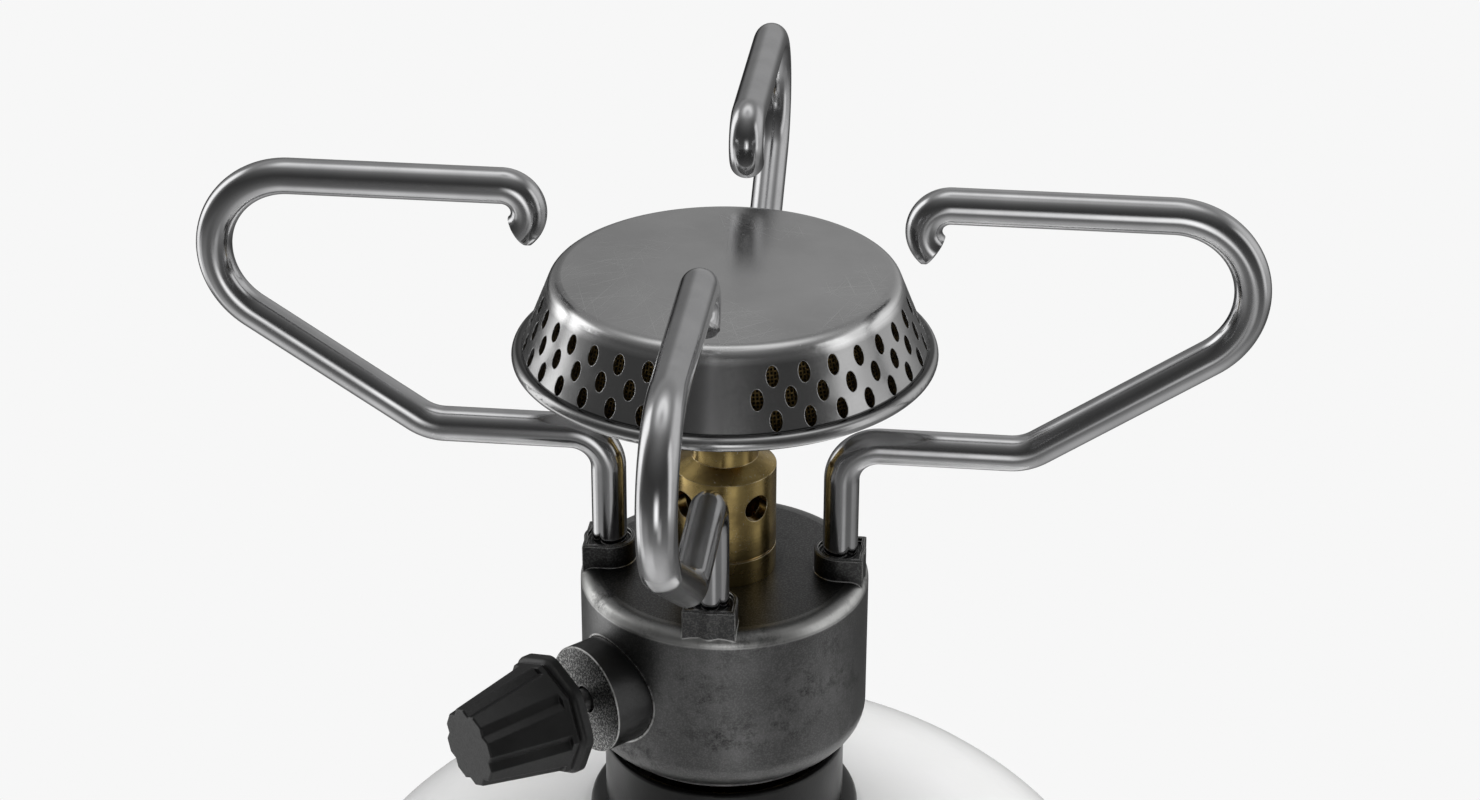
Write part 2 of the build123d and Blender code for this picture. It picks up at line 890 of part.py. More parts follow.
for node, part in parts.items():
    export_step(part, f"parts/{node}.step")
    print(node, len(part.solids()), round(part.volume, 2))
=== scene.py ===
import math

import bpy
from mathutils import Matrix, Vector


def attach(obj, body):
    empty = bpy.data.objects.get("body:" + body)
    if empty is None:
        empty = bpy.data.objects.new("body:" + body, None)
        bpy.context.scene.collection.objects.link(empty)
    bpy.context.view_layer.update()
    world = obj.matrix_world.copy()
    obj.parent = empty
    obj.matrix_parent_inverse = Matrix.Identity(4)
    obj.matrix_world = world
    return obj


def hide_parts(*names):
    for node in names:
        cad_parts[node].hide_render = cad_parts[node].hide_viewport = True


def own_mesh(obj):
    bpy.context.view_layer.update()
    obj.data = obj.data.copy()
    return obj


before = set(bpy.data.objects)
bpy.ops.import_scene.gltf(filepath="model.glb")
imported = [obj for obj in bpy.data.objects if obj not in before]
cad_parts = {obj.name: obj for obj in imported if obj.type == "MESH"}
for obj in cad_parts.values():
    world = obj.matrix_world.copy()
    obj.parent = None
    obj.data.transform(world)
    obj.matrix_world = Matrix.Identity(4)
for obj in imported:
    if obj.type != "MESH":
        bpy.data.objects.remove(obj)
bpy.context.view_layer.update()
print("frame loaded:", len(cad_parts), "nodes")


# sRGB hex to linear colour
def hexColour(text):
    channels = [int(text[n:n + 2], 16) / 255 for n in (1, 3, 5)]
    linear = [c / 12.92 if c <= 0.04045 else ((c + 0.055) / 1.055) ** 2.4 for c in channels]
    return (*linear, 1.0)


# pattern scale for features of a real size, because the coordinates are metres
def perSize(millimetres):
    return 1000 / millimetres


# adds one node with its settings; an input takes a value or another node's output
def addNode(tree, kind, inputs=None, **settings):
    node = tree.nodes.new(kind)
    for name, value in settings.items():
        setattr(node, name, value)
    for socket, value in (inputs or {}).items():
        if isinstance(value, bpy.types.NodeSocket):
            tree.links.new(value, node.inputs[socket])
        else:
            node.inputs[socket].default_value = value
    return node


# new material and its shader; values that are the same all over are set here
def newMaterial(name, **shaderValues):
    material = bpy.data.materials.new(name)
    material.use_nodes = True
    tree = material.node_tree
    shader = tree.nodes["Principled BSDF"]
    for socket, value in shaderValues.items():
        shader.inputs[socket.replace("_", " ")].default_value = value
    return material, tree, shader


# links patterns to the shader's sockets
def dress(tree, shader, **patterns):
    for socket, pattern in patterns.items():
        tree.links.new(pattern, shader.inputs[socket.replace("_", " ")])


# place on the object in metres, in the frame of the part
def objectPlace(tree):
    return addNode(tree, "ShaderNodeTexCoord").outputs["Object"]


# grey pattern from noise, stretched between two levels
def noiseMask(tree, where, size, low, high, detail=4.0, stretch=(1, 1, 1), crisp=0.5):
    spread = addNode(tree, "ShaderNodeMapping", {"Vector": where, "Scale": stretch})
    noise = addNode(tree, "ShaderNodeTexNoise", {"Vector": spread.outputs[0], "Scale": perSize(size),
                                                 "Detail": detail, "Roughness": crisp})
    level = addNode(tree, "ShaderNodeMapRange",
                    {"Value": noise.outputs[0], "From Min": low, "From Max": high})
    return level.outputs["Result"]


# broken hairlines that run one way: noise stretched along the lines, kept only at its peaks
def hairlines(tree, where, turn, width, length, keep, fade=0.05):
    spin = addNode(tree, "ShaderNodeMapping",
                   {"Vector": where, "Rotation": [math.radians(angle) for angle in turn]})
    spread = addNode(tree, "ShaderNodeMapping",
                     {"Vector": spin.outputs[0], "Scale": (perSize(length), perSize(width), perSize(width))})
    noise = addNode(tree, "ShaderNodeTexNoise", {"Vector": spread.outputs[0], "Scale": 1.0, "Detail": 1.0})
    line = addNode(tree, "ShaderNodeMapRange",
                   {"Value": noise.outputs[0], "From Min": keep, "From Max": keep + fade})
    patch = noiseMask(tree, where, length, low=0.45, high=0.62)
    return addNode(tree, "ShaderNodeMath", {0: line.outputs[0], 1: patch}, operation="MULTIPLY").outputs[0]


# how far a point lies along a direction, in millimetres
def reachAlong(tree, where, direction):
    ahead = addNode(tree, "ShaderNodeVectorMath", {0: where, 1: [1000 * part for part in direction]},
                    operation="DOT_PRODUCT")
    return ahead.outputs["Value"]


# mask for a band between two reaches in millimetres: 1 in its middle third, fading to its edges
def band(tree, reach, low, high):
    middle = addNode(tree, "ShaderNodeMath", {0: reach, 1: (low + high) / 2}, operation="SUBTRACT")
    away = addNode(tree, "ShaderNodeMath", {0: middle.outputs[0]}, operation="ABSOLUTE")
    level = addNode(tree, "ShaderNodeMapRange",
                    {"Value": away.outputs[0], "From Min": (high - low) / 6, "From Max": (high - low) / 2,
                     "To Min": 1.0, "To Max": 0.0})
    return level.outputs["Result"]


# mask that is 1 past a reach in millimetres
def above(tree, reach, start, blend=0.03):
    level = addNode(tree, "ShaderNodeMapRange",
                    {"Value": reach, "From Min": start - blend, "From Max": start + blend})
    return level.outputs["Result"]


# normal that rounds sharp edges off, and a mask that is 1 on them and 0 on flats
def roundedEdges(tree, width, low, high):
    soft = addNode(tree, "ShaderNodeBevel", {"Radius": width / 1000}, samples=6)
    plain = addNode(tree, "ShaderNodeNewGeometry")
    along = addNode(tree, "ShaderNodeVectorMath", {0: soft.outputs[0], 1: plain.outputs["Normal"]},
                    operation="DOT_PRODUCT")
    mask = addNode(tree, "ShaderNodeMapRange",
                   {"Value": along.outputs["Value"], "From Min": low, "From Max": high,
                    "To Min": 1.0, "To Max": 0.0})
    return soft.outputs[0], mask.outputs["Result"]


# stainless rod, drawn and polished: near mirror with soft handling smears and hairline scratches
rodFinish = {
    "clean": "#cbcbcc",
    "dull": "#bababb",
    "scratch": "#d6d6d6",
    "smearSize": 7.0,
    "scratchWidth": 0.12,  # real hairlines are near 0.02 mm, drawn coarser so that they show
    "scratchLength": 14.0,
    "scratchTurns": ((20, 35, 50), (70, 10, 115)),
    "scratchRoughness": 0.08,
    "roughness": (0.13, 0.19),
    "waviness": 0.006,
    "waveDepth": 0.2,
}


def makeRodSteel():
    material, tree, shader = newMaterial("polished stainless rod", Metallic=1.0)
    where = objectPlace(tree)
    smear = noiseMask(tree, where, rodFinish["smearSize"], low=0.35, high=0.7, detail=6.0)
    steel = addNode(tree, "ShaderNodeMix", data_type="RGBA",
                    inputs={0: smear, 6: hexColour(rodFinish["clean"]), 7: hexColour(rodFinish["dull"])})
    size = (rodFinish["scratchWidth"], rodFinish["scratchLength"])
    across, along = [hairlines(tree, where, turn, *size, keep=0.69) for turn in rodFinish["scratchTurns"]]
    scratch = addNode(tree, "ShaderNodeMath", {0: across, 1: along}, operation="MAXIMUM").outputs[0]
    colour = addNode(tree, "ShaderNodeMix", data_type="RGBA",
                     inputs={0: scratch, 6: steel.outputs[2], 7: hexColour(rodFinish["scratch"])})
    low, high = rodFinish["roughness"]
    polish = addNode(tree, "ShaderNodeMapRange", {"Value": smear, "To Min": low, "To Max": high})
    rough = addNode(tree, "ShaderNodeMath", operation="MULTIPLY_ADD",
                    inputs={0: scratch, 1: rodFinish["scratchRoughness"], 2: polish.outputs[0]})
    bump = addNode(tree, "ShaderNodeBump", {"Height": smear, "Strength": rodFinish["waviness"],
                                            "Distance": rodFinish["waveDepth"] / 1000})
    dress(tree, shader, Base_Color=colour.outputs[2], Roughness=rough.outputs[0], Normal=bump.outputs[0])
    return material


# stainless sheet, pressed and satin: soft broad reflections, long scratches, fine grain, a painted highlight
# along the top corner, a painted shade line in the crease above the rim bead and painted highlights on the
# cut edges
capFinish = {
    "sheet": "#c3c3c3",
    "shade": "#b3b3b3",
    # painted highlight: the band along the top corner is lightened to stand in for its reflection
    "corner": "#f2f2f2",
    # painted shade: a dark line in the crease between the skirt and the rolled rim bead
    "paintedShade": "#505050",
    # painted highlight on the cut edges of the holes and the rim, where they catch the light
    "edge": "#d6d6d6",
    "scratch": "#dddddd",
    "cloudSize": 14.0,
    "grainSize": 0.35,
    "grain": 0.004,
    "grainDepth": 0.2,
    "roughness": (0.19, 0.24),
    "cornerHeights": (158.9, 161.1),
    "paintedShadeHeights": (150.8, 151.15),
    "edgeWidth": 0.15,
    "edgeFrom": 151.6,
    "scratchFrom": 160.6,
    "scratchWidth": 0.11,  # real hairlines are near 0.02 mm, drawn coarser so that they show
    "scratchLength": 26.0,
    "scratchTurns": (12, 41, 74, 108, 141, 166),
    "scratchRoughness": 0.15,
}
# the pan under the head is dulled by heat
panFinish = {**capFinish, "roughness": (0.42, 0.55)}


def makeSheetSteel(name, finish):
    material, tree, shader = newMaterial(name, Metallic=1.0)
    where = objectPlace(tree)
    height = reachAlong(tree, where, (0, 0, 1))
    cloud = noiseMask(tree, where, finish["cloudSize"], low=0.3, high=0.7)
    # the edge mask carries the painted highlight on the cut edges
    softNormal, edge = roundedEdges(tree, finish["edgeWidth"], low=0.82, high=0.99)
    edge = addNode(tree, "ShaderNodeMath", {0: edge, 1: above(tree, height, finish["edgeFrom"])},
                   operation="MULTIPLY").outputs[0]
    size = (finish["scratchWidth"], finish["scratchLength"])
    scratch = 0.0
    for turn in finish["scratchTurns"]:
        lines = hairlines(tree, where, (0, 0, turn), *size, keep=0.71)
        scratch = addNode(tree, "ShaderNodeMath", {0: scratch, 1: lines}, operation="MAXIMUM").outputs[0]
    scratch = addNode(tree, "ShaderNodeMath", {0: scratch, 1: above(tree, height, finish["scratchFrom"])},
                      operation="MULTIPLY").outputs[0]
    colour = addNode(tree, "ShaderNodeMix", data_type="RGBA",
                     inputs={0: cloud, 6: hexColour(finish["sheet"]), 7: hexColour(finish["shade"])})
    # painted highlight on the corner band, painted shade in the crease above the rim bead and painted
    # highlights on the cut edges go over the sheet's tone; the scratches are real
    layers = ((band(tree, height, *finish["cornerHeights"]), "corner"),
              (band(tree, height, *finish["paintedShadeHeights"]), "paintedShade"), (edge, "edge"), (scratch, "scratch"))
    for mask, layer in layers:
        colour = addNode(tree, "ShaderNodeMix", data_type="RGBA",
                         inputs={0: mask, 6: colour.outputs[2], 7: hexColour(finish[layer])})
    low, high = finish["roughness"]
    grain = noiseMask(tree, where, finish["grainSize"], low=0.3, high=0.7, detail=5.0)
    satin = addNode(tree, "ShaderNodeMapRange", {"Value": grain, "To Min": low, "To Max": high})
    rough = addNode(tree, "ShaderNodeMath", operation="MULTIPLY_ADD",
                    inputs={0: scratch, 1: finish["scratchRoughness"], 2: satin.outputs[0]})
    bump = addNode(tree, "ShaderNodeBump", {"Height": grain, "Normal": softNormal,
                                            "Strength": finish["grain"],
                                            "Distance": finish["grainDepth"] / 1000})
    dress(tree, shader, Base_Color=colour.outputs[2], Roughness=rough.outputs[0], Normal=bump.outputs[0])
    return material


# zinc alloy casting, blackened: dark satin metal with fine grain and painted glints, smudges, painted shade
# in the corners, a pale shoulder that is partly rubbed and partly a painted highlight, and rubbed edges
castFinish = {
    "thin": "#868686",
    "thick": "#6e6e6e",
    "lug": "#585858",
    # the shoulder's pale tone is partly rubbed wear and partly a painted highlight along the rounding
    "shoulder": "#d2d2d0",
    "smudge": "#505050",
    # painted glints: pale specks on the grain stand in for the sparkle of the blasted surface
    "paintedGlint": "#c2c2c0",
    # painted shade in corners and recesses
    "paintedShade": "#1e1e1e",
    "worn": "#e6e6e4",
    "cloudSize": 9.0,
    "patchSize": 9.0,
    "smudgeSize": 3.0,
    "speckSize": 0.8,
    "grainSize": 0.25,  # blasting leaves pits near 0.1 mm, drawn coarser so that they show
    "grain": 0.05,
    "grainDepth": 0.2,
    "roughness": (0.30, 0.44),
    "edgeWidth": 0.3,
    "shoulderHeights": (114.9, 117.1),
    "shoulderRing": (18.0, 115.05, 2.0),  # radius and height of the rounding's centre, and its radius
    "shoulderBlend": 0.11,
    "lugGap": 0.08,  # past the rounding by this much, only the lugs are left
    "lugRise": 0.1,  # and so it is over the body's top
    "turnedLine": (115.06, 115.32),
    "lineStrength": 0.35,
    "valveAxis": (-math.sqrt(0.5), -math.sqrt(0.5), 0),
    "valveHeight": 104.22,
    "holeRim": (7.5, 7.95),  # distances from the valve's axis; the three below are reaches along it
    "holeFrom": 16,
    "rimReach": (23.95, 24.24),
    "glitterFrom": -60,
    "glitter": 0.16,
    "paintedShadeReach": 3.0,
    "paintedShadeStrength": 0.9,
}
# the gland is darker than the body, and its blasted end has strong painted glints
glandFinish = {
    **castFinish,
    "thin": "#585858",
    "thick": "#404040",
    "holeRim": (90, 91),  # beyond the gland, because that rim is on the body
    "glitterFrom": 24.22,
    "glitter": 0.8,
}


def makeCastAlloy(name, finish):
    material, tree, shader = newMaterial(name, Metallic=1.0)
    where = objectPlace(tree)
    cloud = noiseMask(tree, where, finish["cloudSize"], low=0.35, high=0.65, detail=6.0)
    patch = noiseMask(tree, where, finish["patchSize"], low=0.40, high=0.60)
    wisp = noiseMask(tree, where, finish["smudgeSize"], low=0.46, high=0.62, detail=14.0, crisp=0.78)
    smudge = addNode(tree, "ShaderNodeMath", {0: patch, 1: wisp}, operation="MULTIPLY").outputs[0]
    speck = noiseMask(tree, where, finish["speckSize"], low=0.25, high=0.50, detail=6.0)
    grain = noiseMask(tree, where, finish["grainSize"], low=0.28, high=0.72, detail=3.0)
    softNormal, edge = roundedEdges(tree, finish["edgeWidth"], low=0.80, high=0.99)
    height = reachAlong(tree, where, (0, 0, 1))
    ahead = reachAlong(tree, where, finish["valveAxis"])

    # the shoulder's rounding is rubbed pale, with a painted highlight along it; what stands outside it or
    # over it is a lug
    ringRadius, ringHeight, ringRound = finish["shoulderRing"]
    flat = addNode(tree, "ShaderNodeVectorMath", {0: where, 1: (1000, 1000, 0)}, operation="MULTIPLY")
    reach = addNode(tree, "ShaderNodeVectorMath", {0: flat.outputs[0]}, operation="LENGTH").outputs["Value"]
    outward = addNode(tree, "ShaderNodeMath", {0: reach, 1: ringRadius}, operation="SUBTRACT").outputs[0]
    upward = addNode(tree, "ShaderNodeMath", {0: height, 1: ringHeight}, operation="SUBTRACT").outputs[0]
    offset = addNode(tree, "ShaderNodeCombineXYZ", {"X": outward, "Y": upward}).outputs[0]
    fromRing = addNode(tree, "ShaderNodeVectorMath", {0: offset}, operation="LENGTH").outputs["Value"]
    onRound = band(tree, fromRing, ringRound - finish["shoulderBlend"], ringRound + finish["shoulderBlend"])
    onShoulder = band(tree, height, *finish["shoulderHeights"])
    shoulder = addNode(tree, "ShaderNodeMath", {0: onShoulder, 1: onRound}, operation="MULTIPLY").outputs[0]
    outside = addNode(tree, "ShaderNodeMath", operation="MULTIPLY",
                      inputs={0: above(tree, fromRing, ringRound + finish["lugGap"]),
                              1: above(tree, height, ringHeight)}).outputs[0]
    overTop = above(tree, height, ringHeight + ringRound + finish["lugRise"])
    lug = addNode(tree, "ShaderNodeMath", {0: overTop, 1: outside}, operation="MAXIMUM").outputs[0]

    # rubbed lines: the edges, a faint turned line on the rounding, the gland's rim and the rim of its hole
    onLine = band(tree, height, *finish["turnedLine"])
    turned = addNode(tree, "ShaderNodeMath", {0: onLine, 1: onRound}, operation="MULTIPLY").outputs[0]
    turned = addNode(tree, "ShaderNodeMath", {0: turned, 1: finish["lineStrength"]},
                     operation="MULTIPLY").outputs[0]
    fromValve = addNode(tree, "ShaderNodeVectorMath", {0: where, 1: (0, 0, finish["valveHeight"] / 1000)},
                        operation="SUBTRACT").outputs[0]
    aside = addNode(tree, "ShaderNodeVectorMath", {0: fromValve, 1: finish["valveAxis"]},
                    operation="CROSS_PRODUCT").outputs[0]
    fromAxis = addNode(tree, "ShaderNodeVectorMath", {0: aside}, operation="LENGTH").outputs["Value"]
    fromAxis = addNode(tree, "ShaderNodeMath", {0: fromAxis, 1: 1000}, operation="MULTIPLY").outputs[0]
    hole = addNode(tree, "ShaderNodeMath", operation="MULTIPLY",
                   inputs={0: band(tree, fromAxis, *finish["holeRim"]),
                           1: above(tree, ahead, finish["holeFrom"])}).outputs[0]
    bright = edge
    for line in (turned, band(tree, ahead, *finish["rimReach"]), hole):
        bright = addNode(tree, "ShaderNodeMath", {0: bright, 1: line}, operation="MAXIMUM").outputs[0]
    rubbed = addNode(tree, "ShaderNodeMath", {0: bright, 1: speck}, operation="MULTIPLY").outputs[0]

    # painted glints: bright specks from the grain, from glitterFrom onward along the valve's axis
    paintedGlint = addNode(tree, "ShaderNodeMapRange", {"Value": grain, "From Min": 0.45, "From Max": 0.75,
                                                "To Max": finish["glitter"]}).outputs[0]
    paintedGlint = addNode(tree, "ShaderNodeMath", {0: paintedGlint, 1: above(tree, ahead, finish["glitterFrom"])},
                   operation="MULTIPLY").outputs[0]
    # painted shade: corners and recesses are darkened through ambient occlusion
    nook = addNode(tree, "ShaderNodeAmbientOcclusion", {"Distance": finish["paintedShadeReach"] / 1000}, samples=6)
    paintedShade = addNode(tree, "ShaderNodeMapRange",
                   {"Value": nook.outputs["AO"], "From Min": 0.25, "From Max": 0.85,
                    "To Min": finish["paintedShadeStrength"], "To Max": 0.0}).outputs[0]
    tone = addNode(tree, "ShaderNodeMix", data_type="RGBA",
                   inputs={0: cloud, 6: hexColour(finish["thick"]), 7: hexColour(finish["thin"])})
    layers = ((lug, "lug"), (shoulder, "shoulder"), (smudge, "smudge"), (paintedGlint, "paintedGlint"), (paintedShade, "paintedShade"),
              (rubbed, "worn"))
    for mask, layer in layers:
        tone = addNode(tree, "ShaderNodeMix", data_type="RGBA",
                       inputs={0: mask, 6: tone.outputs[2], 7: hexColour(finish[layer])})
    low, high = finish["roughness"]
    rough = addNode(tree, "ShaderNodeMapRange", {"Value": grain, "To Min": low, "To Max": high})
    bump = addNode(tree, "ShaderNodeBump", {"Height": grain, "Normal": softNormal,
                                            "Strength": finish["grain"],
                                            "Distance": finish["grainDepth"] / 1000})
    dress(tree, shader, Base_Color=tone.outputs[2], Roughness=rough.outputs[0], Normal=bump.outputs[0])
    return material


# brass, turned and aged by heat: olive gold with fine tool lines, dull tarnish and pale scuffs
brassFinish = {
    "bright": "#d0b676",
    "tarnish": "#8f7a50",
    "scuff": "#f0e8d2",
    "cloudSize": 4.0,
    "toolLine": 0.3,  # real feed lines are near 0.08 mm, drawn coarser so that they show
    "toolMarks": 0.05,
    "toolDepth": 0.1,
    "scuffWidth": 0.2,
    "scuffLength": 2.5,
    "scuffTurn": 40,
    "edgeWidth": 0.15,
    "roughness": (0.2, 0.36),
}


def makeAgedBrass():
    material, tree, shader = newMaterial("aged turned brass", Metallic=1.0)
    where = objectPlace(tree)
    cloud = noiseMask(tree, where, brassFinish["cloudSize"], low=0.35, high=0.7, detail=8.0)
    colour = addNode(tree, "ShaderNodeMix", data_type="RGBA",
                     inputs={0: cloud, 6: hexColour(brassFinish["bright"]),
                             7: hexColour(brassFinish["tarnish"])})
    softNormal, edge = roundedEdges(tree, brassFinish["edgeWidth"], low=0.75, high=0.98)
    scuff = hairlines(tree, where, (0, 0, brassFinish["scuffTurn"]), brassFinish["scuffWidth"],
                      brassFinish["scuffLength"], keep=0.68)
    pale = addNode(tree, "ShaderNodeMath", {0: edge, 1: scuff}, operation="MAXIMUM")
    colour = addNode(tree, "ShaderNodeMix", data_type="RGBA",
                     inputs={0: pale.outputs[0], 6: colour.outputs[2], 7: hexColour(brassFinish["scuff"])})
    low, high = brassFinish["roughness"]
    rough = addNode(tree, "ShaderNodeMapRange", {"Value": cloud, "To Min": low, "To Max": high})
    lines = noiseMask(tree, where, brassFinish["toolLine"], low=0.3, high=0.7, detail=2.0,
                      stretch=(0.02, 0.02, 1))
    bump = addNode(tree, "ShaderNodeBump", {"Height": lines, "Normal": softNormal,
                                            "Strength": brassFinish["toolMarks"],
                                            "Distance": brassFinish["toolDepth"] / 1000})
    dress(tree, shader, Base_Color=colour.outputs[2], Roughness=rough.outputs[0], Normal=bump.outputs[0])
    return material


# brass wire cloth: square weave of fine wire, browned by the flame; the gaps between the wires are painted
# shade of the burner's inside
gauzeFinish = {
    "wire": "#74613a",
    # painted shade: the gaps between the wires are dark for the shaded inside seen through the cloth
    "gap": "#1a160d",
    "wirePitch": 0.5,  # such cloth has about 0.3 mm pitch, drawn coarser so that the weave shows
    "coneRadius": 24.0,
    "crossing": 0.4,  # how far one wire rises over the other
    "relief": 0.8,
    "reliefDepth": 0.2,
}


def makeGauze():
    material, tree, shader = newMaterial("brass wire cloth", Metallic=0.8, Roughness=0.5)
    where = addNode(tree, "ShaderNodeSeparateXYZ", {"Vector": objectPlace(tree)})
    turn = addNode(tree, "ShaderNodeMath", {0: where.outputs["Y"], 1: where.outputs["X"]},
                   operation="ARCTAN2").outputs[0]
    wires = round(math.pi * gauzeFinish["coneRadius"] / gauzeFinish["wirePitch"])
    rows = math.pi * perSize(gauzeFinish["wirePitch"])
    waves = []
    for place, pitch in ((turn, wires), (where.outputs["Z"], rows)):
        phase = addNode(tree, "ShaderNodeMath", {0: place, 1: pitch}, operation="MULTIPLY")
        wave = addNode(tree, "ShaderNodeMath", {0: phase.outputs[0]}, operation="SINE")
        waves.append(wave.outputs[0])
    crests = [addNode(tree, "ShaderNodeMath", {0: wave}, operation="ABSOLUTE").outputs[0] for wave in waves]
    weave = addNode(tree, "ShaderNodeMath", {0: crests[0], 1: crests[1]}, operation="MAXIMUM").outputs[0]
    over = addNode(tree, "ShaderNodeMath", {0: waves[0], 1: waves[1]}, operation="MULTIPLY").outputs[0]
    height = addNode(tree, "ShaderNodeMath", {0: over, 1: gauzeFinish["crossing"], 2: weave},
                     operation="MULTIPLY_ADD").outputs[0]
    level = addNode(tree, "ShaderNodeMapRange", {"Value": weave, "From Min": 0.6, "From Max": 1.0})
    colour = addNode(tree, "ShaderNodeMix", data_type="RGBA",
                     inputs={0: level.outputs[0], 6: hexColour(gauzeFinish["gap"]),
                             7: hexColour(gauzeFinish["wire"])})
    bump = addNode(tree, "ShaderNodeBump", {"Height": height, "Strength": gauzeFinish["relief"],
                                            "Distance": gauzeFinish["reliefDepth"] / 1000})
    dress(tree, shader, Base_Color=colour.outputs[2], Normal=bump.outputs[0])
    return material


# glass-filled nylon, moulded in a spark-eroded tool: black satin with a fine even grain and rubbed edges
knobFinish = {
    "black": "#090909",
    "rub": "#1a1a1a",
    "cloudSize": 4.0,
    "grainSize": 0.3,
    "grain": 0.08,
    "grainDepth": 0.1,
    "edgeWidth": 0.3,
    "roughness": (0.36, 0.46),
}


def makeNylon():
    material, tree, shader = newMaterial("moulded nylon", IOR=1.53)
    where = objectPlace(tree)
    softNormal, edge = roundedEdges(tree, knobFinish["edgeWidth"], low=0.80, high=0.99)
    cloud = noiseMask(tree, where, knobFinish["cloudSize"], low=0.3, high=0.9)
    rubbed = addNode(tree, "ShaderNodeMath", {0: edge, 1: cloud}, operation="MAXIMUM")
    colour = addNode(tree, "ShaderNodeMix", data_type="RGBA",
                     inputs={0: rubbed.outputs[0], 6: hexColour(knobFinish["black"]),
                             7: hexColour(knobFinish["rub"])})
    low, high = knobFinish["roughness"]
    grain = noiseMask(tree, where, knobFinish["grainSize"], low=0.3, high=0.7, detail=3.0)
    rough = addNode(tree, "ShaderNodeMapRange", {"Value": grain, "To Min": low, "To Max": high})
    bump = addNode(tree, "ShaderNodeBump", {"Height": grain, "Normal": softNormal,
                                            "Strength": knobFinish["grain"],
                                            "Distance": knobFinish["grainDepth"] / 1000})
    dress(tree, shader, Base_Color=colour.outputs[2], Roughness=rough.outputs[0], Normal=bump.outputs[0])
    return material


# polypropylene, moulded: black satin with a faint waxy cloud
collarFinish = {
    "black": "#101010",
    "cloud": "#1b1b1b",
    "cloudSize": 6.0,
    "grainSize": 0.4,
    "grain": 0.05,
    "grainDepth": 0.1,
    "edgeWidth": 0.25,
    "roughness": (0.30, 0.42),
}


def makePolypropylene():
    material, tree, shader = newMaterial("moulded polypropylene", IOR=1.49)
    where = objectPlace(tree)
    softNormal, edge = roundedEdges(tree, collarFinish["edgeWidth"], low=0.80, high=0.99)
    cloud = noiseMask(tree, where, collarFinish["cloudSize"], low=0.3, high=0.7)
    pale = addNode(tree, "ShaderNodeMath", {0: edge, 1: cloud}, operation="MAXIMUM")
    colour = addNode(tree, "ShaderNodeMix", data_type="RGBA",
                     inputs={0: pale.outputs[0], 6: hexColour(collarFinish["black"]),
                             7: hexColour(collarFinish["cloud"])})
    low, high = collarFinish["roughness"]
    rough = addNode(tree, "ShaderNodeMapRange", {"Value": cloud, "To Min": low, "To Max": high})
    grain = noiseMask(tree, where, collarFinish["grainSize"], low=0.3, high=0.7)
    bump = addNode(tree, "ShaderNodeBump", {"Height": grain, "Normal": softNormal,
                                            "Strength": collarFinish["grain"],
                                            "Distance": collarFinish["grainDepth"] / 1000})
    dress(tree, shader, Base_Color=colour.outputs[2], Roughness=rough.outputs[0], Normal=bump.outputs[0])
    return material


# stoved white enamel on drawn steel: glossy and even with a slight orange peel; the rolled seam stays bare
enamelFinish = {
    "white": "#f0f0f0",
    "cast": "#eaeae9",
    "steel": "#b9b9b9",
    "peelSize": 1.6,
    "peel": 0.03,
    "peelDepth": 0.2,
    "cloudSize": 20.0,
    "roughness": 0.22,
    "seamInside": 54.72,  # radius where the bare seam begins
    "seamBlend": 0.04,
}


def makeEnamel():
    material, tree, shader = newMaterial("white enamel", Roughness=enamelFinish["roughness"], IOR=1.5)
    where = objectPlace(tree)
    cloud = noiseMask(tree, where, enamelFinish["cloudSize"], low=0.3, high=0.7)
    white = addNode(tree, "ShaderNodeMix", data_type="RGBA",
                    inputs={0: cloud, 6: hexColour(enamelFinish["white"]),
                            7: hexColour(enamelFinish["cast"])})
    flat = addNode(tree, "ShaderNodeVectorMath", {0: where, 1: (1000, 1000, 0)}, operation="MULTIPLY")
    reach = addNode(tree, "ShaderNodeVectorMath", {0: flat.outputs[0]}, operation="LENGTH").outputs["Value"]
    seam = above(tree, reach, enamelFinish["seamInside"], enamelFinish["seamBlend"])
    colour = addNode(tree, "ShaderNodeMix", data_type="RGBA",
                     inputs={0: seam, 6: white.outputs[2], 7: hexColour(enamelFinish["steel"])})
    peel = noiseMask(tree, where, enamelFinish["peelSize"], low=0.3, high=0.7, detail=2.0)
    bump = addNode(tree, "ShaderNodeBump", {"Height": peel, "Strength": enamelFinish["peel"],
                                            "Distance": enamelFinish["peelDepth"] / 1000})
    dress(tree, shader, Base_Color=colour.outputs[2], Metallic=seam, Normal=bump.outputs[0])
    return material


# tinned steel sheet: pale crystalline spangle, slightly dull
tinFinish = {"pale": "#b4b4b2", "dull": "#8f8f8c", "spangleSize": 2.5, "roughness": 0.32}


def makeTinplate():
    material, tree, shader = newMaterial("tinplate", Metallic=1.0, Roughness=tinFinish["roughness"])
    cells = addNode(tree, "ShaderNodeTexVoronoi",
                    {"Vector": objectPlace(tree), "Scale": perSize(tinFinish["spangleSize"])})
    grey = addNode(tree, "ShaderNodeSeparateColor", {"Color": cells.outputs["Color"]}).outputs[0]
    colour = addNode(tree, "ShaderNodeMix", data_type="RGBA",
                     inputs={0: grey, 6: hexColour(tinFinish["pale"]), 7: hexColour(tinFinish["dull"])})
    dress(tree, shader, Base_Color=colour.outputs[2])
    return material


# spring wire, oil tempered: grey steel with a bluish dark scale along it
springFinish = {"ground": "#8d8f92", "cloud": "#5c5e62", "size": 1.2, "levels": (0.35, 0.65),
                "roughness": 0.34}
# nitrile rubber, moulded: matt black with a dusty bloom
rubberFinish = {"ground": "#141414", "cloud": "#242424", "size": 1.5, "levels": (0.4, 0.7), "roughness": 0.62}
